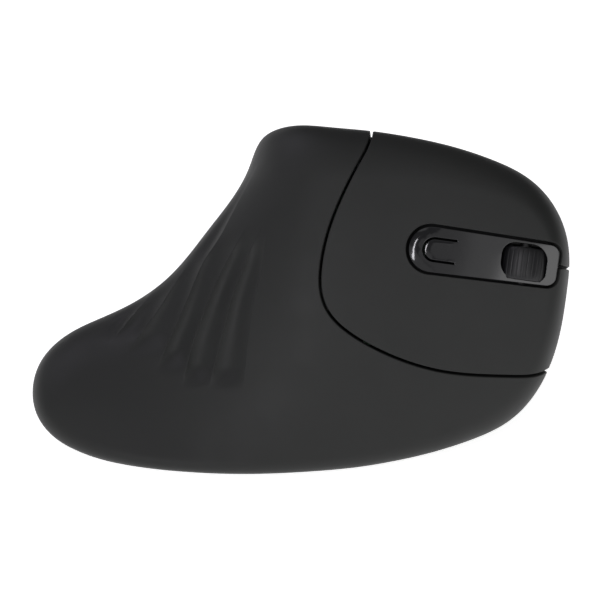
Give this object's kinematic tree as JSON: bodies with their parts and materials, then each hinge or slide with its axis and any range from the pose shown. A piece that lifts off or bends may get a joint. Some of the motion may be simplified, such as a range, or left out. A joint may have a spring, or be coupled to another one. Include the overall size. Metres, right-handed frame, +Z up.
{
  "type": "computer mouse",
  "caption": "Upright ergonomic wireless mouse with a leaning face of two wide keys, a gloss strip with wheel and small key, a thumb scoop and a long palm tail.",
  "frame": {"origin": "middle of the footprint, on the plane that the glide pads rest on", "axes": "+X towards the front where the wheel is, +Y towards the thumb side, +Z up"},
  "size_m": [0.118, 0.0734, 0.0655],
  "materials": {
    "soft_touch_black": "matt soft-touch paint",
    "gloss_black": "gloss",
    "wheel_rubber": "matt ribbed rubber",
    "black_abs": "fine texture",
    "grey_abs": "satin",
    "white_abs": "satin",
    "green_board": "solder mask",
    "chip_black": "moulded",
    "clear_acrylic": "clear",
    "steel": "plated",
    "ptfe_glide": "smooth",
    "cell_wrap": "printed film, left plain"
  },
  "bodies": {
    "housing": {"main_shell": "soft_touch_black", "key_bridge": "soft_touch_black", "thumb_panel": "soft_touch_black", "centre_strip": "gloss_black", "base_plate": "black_abs", "key_bracket": "black_abs", "front_post": "black_abs", "rear_post": "black_abs", "receiver_bay": "black_abs", "encoder": "grey_abs", "key_board": "green_board", "main_board": "green_board", "side_board": "green_board", "wheel_board": "green_board", "left_switch": "chip_black", "right_switch": "chip_black", "middle_switch": "chip_black", "dpi_switch": "chip_black", "forward_switch": "chip_black", "back_switch": "chip_black", "controller_chip": "chip_black", "sensor": "chip_black", "slide_switch": "chip_black", "sensor_lens": "clear_acrylic", "sensor_led": "clear_acrylic", "contact_plate": "steel", "contact_spring": "steel", "screw_rear": "steel", "screw_side": "steel", "screw_front": "steel", "glide_rear": "ptfe_glide", "glide_front": "ptfe_glide", "glide_thumb": "ptfe_glide", "glide_tail": "ptfe_glide", "battery_cell": "cell_wrap"},
    "left_key": {"left_button": "soft_touch_black"},
    "right_key": {"right_button": "soft_touch_black"},
    "dpi_key": {"dpi_button": "gloss_black"},
    "forward_key": {"forward_button": "gloss_black"},
    "back_key": {"back_button": "gloss_black"},
    "carrier": {"wheel_carrier": "black_abs"},
    "wheel": {"wheel_tyre": "wheel_rubber", "wheel_hub": "black_abs", "wheel_axle": "black_abs"},
    "left_stem": {"left_plunger": "white_abs"},
    "right_stem": {"right_plunger": "white_abs"},
    "middle_stem": {"middle_plunger": "white_abs"},
    "dpi_stem": {"dpi_plunger": "white_abs"},
    "forward_stem": {"forward_plunger": "white_abs"},
    "back_stem": {"back_plunger": "white_abs"},
    "slider": {"slider_knob": "grey_abs"},
    "door": {"battery_door": "black_abs"},
    "receiver": {"receiver_plug": "steel", "receiver_cap": "black_abs"}
  },
  "joints": [
    {"name": "left_press", "type": "hinge", "parent": "housing", "child": "left_key", "pos_m": [0.02667, -0.00685, 0.05903], "axis": [0, 0.5592, 0.829], "range_deg": [0, 1.2], "stiffness_Nm_per_rad": 0.4, "springref_deg": -1.72},
    {"name": "right_press", "type": "hinge", "parent": "housing", "child": "right_key", "pos_m": [0.02667, -0.02334, 0.03397], "axis": [0, 0.5592, 0.829], "range_deg": [0, 1.2], "stiffness_Nm_per_rad": 0.4, "springref_deg": -1.72},
    {"name": "dpi_press", "type": "hinge", "parent": "housing", "child": "dpi_key", "pos_m": [0.03461, -0.01545, 0.04789], "axis": [-0.1357, -0.554, -0.8214], "range_deg": [0, 4], "stiffness_Nm_per_rad": 0.05, "springref_deg": -2.86},
    {"name": "forward_press", "type": "slide", "parent": "housing", "child": "forward_key", "axis": [0, -0.9757, -0.2189], "range_m": [0, 0.0006], "stiffness_N_per_m": 900, "springref_m": -0.0005},
    {"name": "back_press", "type": "slide", "parent": "housing", "child": "back_key", "axis": [0, -0.9757, -0.2189], "range_m": [0, 0.0006], "stiffness_N_per_m": 900, "springref_m": -0.0005},
    {"name": "wheel_click", "type": "hinge", "parent": "housing", "child": "carrier", "pos_m": [0.04025, -0.01304, 0.04514], "axis": [0.1357, 0.554, 0.8214], "range_deg": [0, 3.5], "stiffness_Nm_per_rad": 0.4, "springref_deg": -2.86},
    {"name": "wheel_spin", "type": "hinge", "parent": "carrier", "child": "wheel", "pos_m": [0.04877, -0.01369, 0.04417], "axis": [0.1357, 0.554, 0.8214], "continuous": true},
    {"name": "left_stem_slide", "type": "slide", "parent": "housing", "child": "left_stem", "axis": [0, 0.829, -0.5592], "range_m": [0, 0.00025]},
    {"name": "right_stem_slide", "type": "slide", "parent": "housing", "child": "right_stem", "axis": [0, 0.829, -0.5592], "range_m": [0, 0.00025]},
    {"name": "middle_stem_slide", "type": "slide", "parent": "housing", "child": "middle_stem", "axis": [0, 0.829, -0.5592], "range_m": [0, 0.0005]},
    {"name": "dpi_stem_slide", "type": "slide", "parent": "housing", "child": "dpi_stem", "axis": [0, 0.829, -0.5592], "range_m": [0, 0.00025]},
    {"name": "forward_stem_slide", "type": "slide", "parent": "housing", "child": "forward_stem", "axis": [0, -0.9757, -0.2189], "range_m": [0, 0.00061]},
    {"name": "back_stem_slide", "type": "slide", "parent": "housing", "child": "back_stem", "axis": [0, -0.9757, -0.2189], "range_m": [0, 0.00061]},
    {"name": "power_slide", "type": "slide", "parent": "housing", "child": "slider", "axis": [1, 0, 0], "range_m": [0, 0.0023]},
    {"name": "door_off", "type": "slide", "parent": "housing", "child": "door", "axis": [0, 0, -1], "range_m": [0, 0.03]},
    {"name": "receiver_out", "type": "slide", "parent": "housing", "child": "receiver", "axis": [0, 0, -1], "range_m": [0, 0.02]}
  ],
  "couplings": [
    {"joint": "left_press", "follows": "left_stem_slide", "rad_per_m": 83.77},
    {"joint": "right_press", "follows": "right_stem_slide", "rad_per_m": 83.77},
    {"joint": "wheel_click", "follows": "middle_stem_slide", "rad_per_m": 122.17},
    {"joint": "dpi_press", "follows": "dpi_stem_slide", "rad_per_m": 279.25},
    {"joint": "forward_stem_slide", "follows": "forward_press", "ratio": 1},
    {"joint": "back_stem_slide", "follows": "back_press", "ratio": 1}
  ]
}
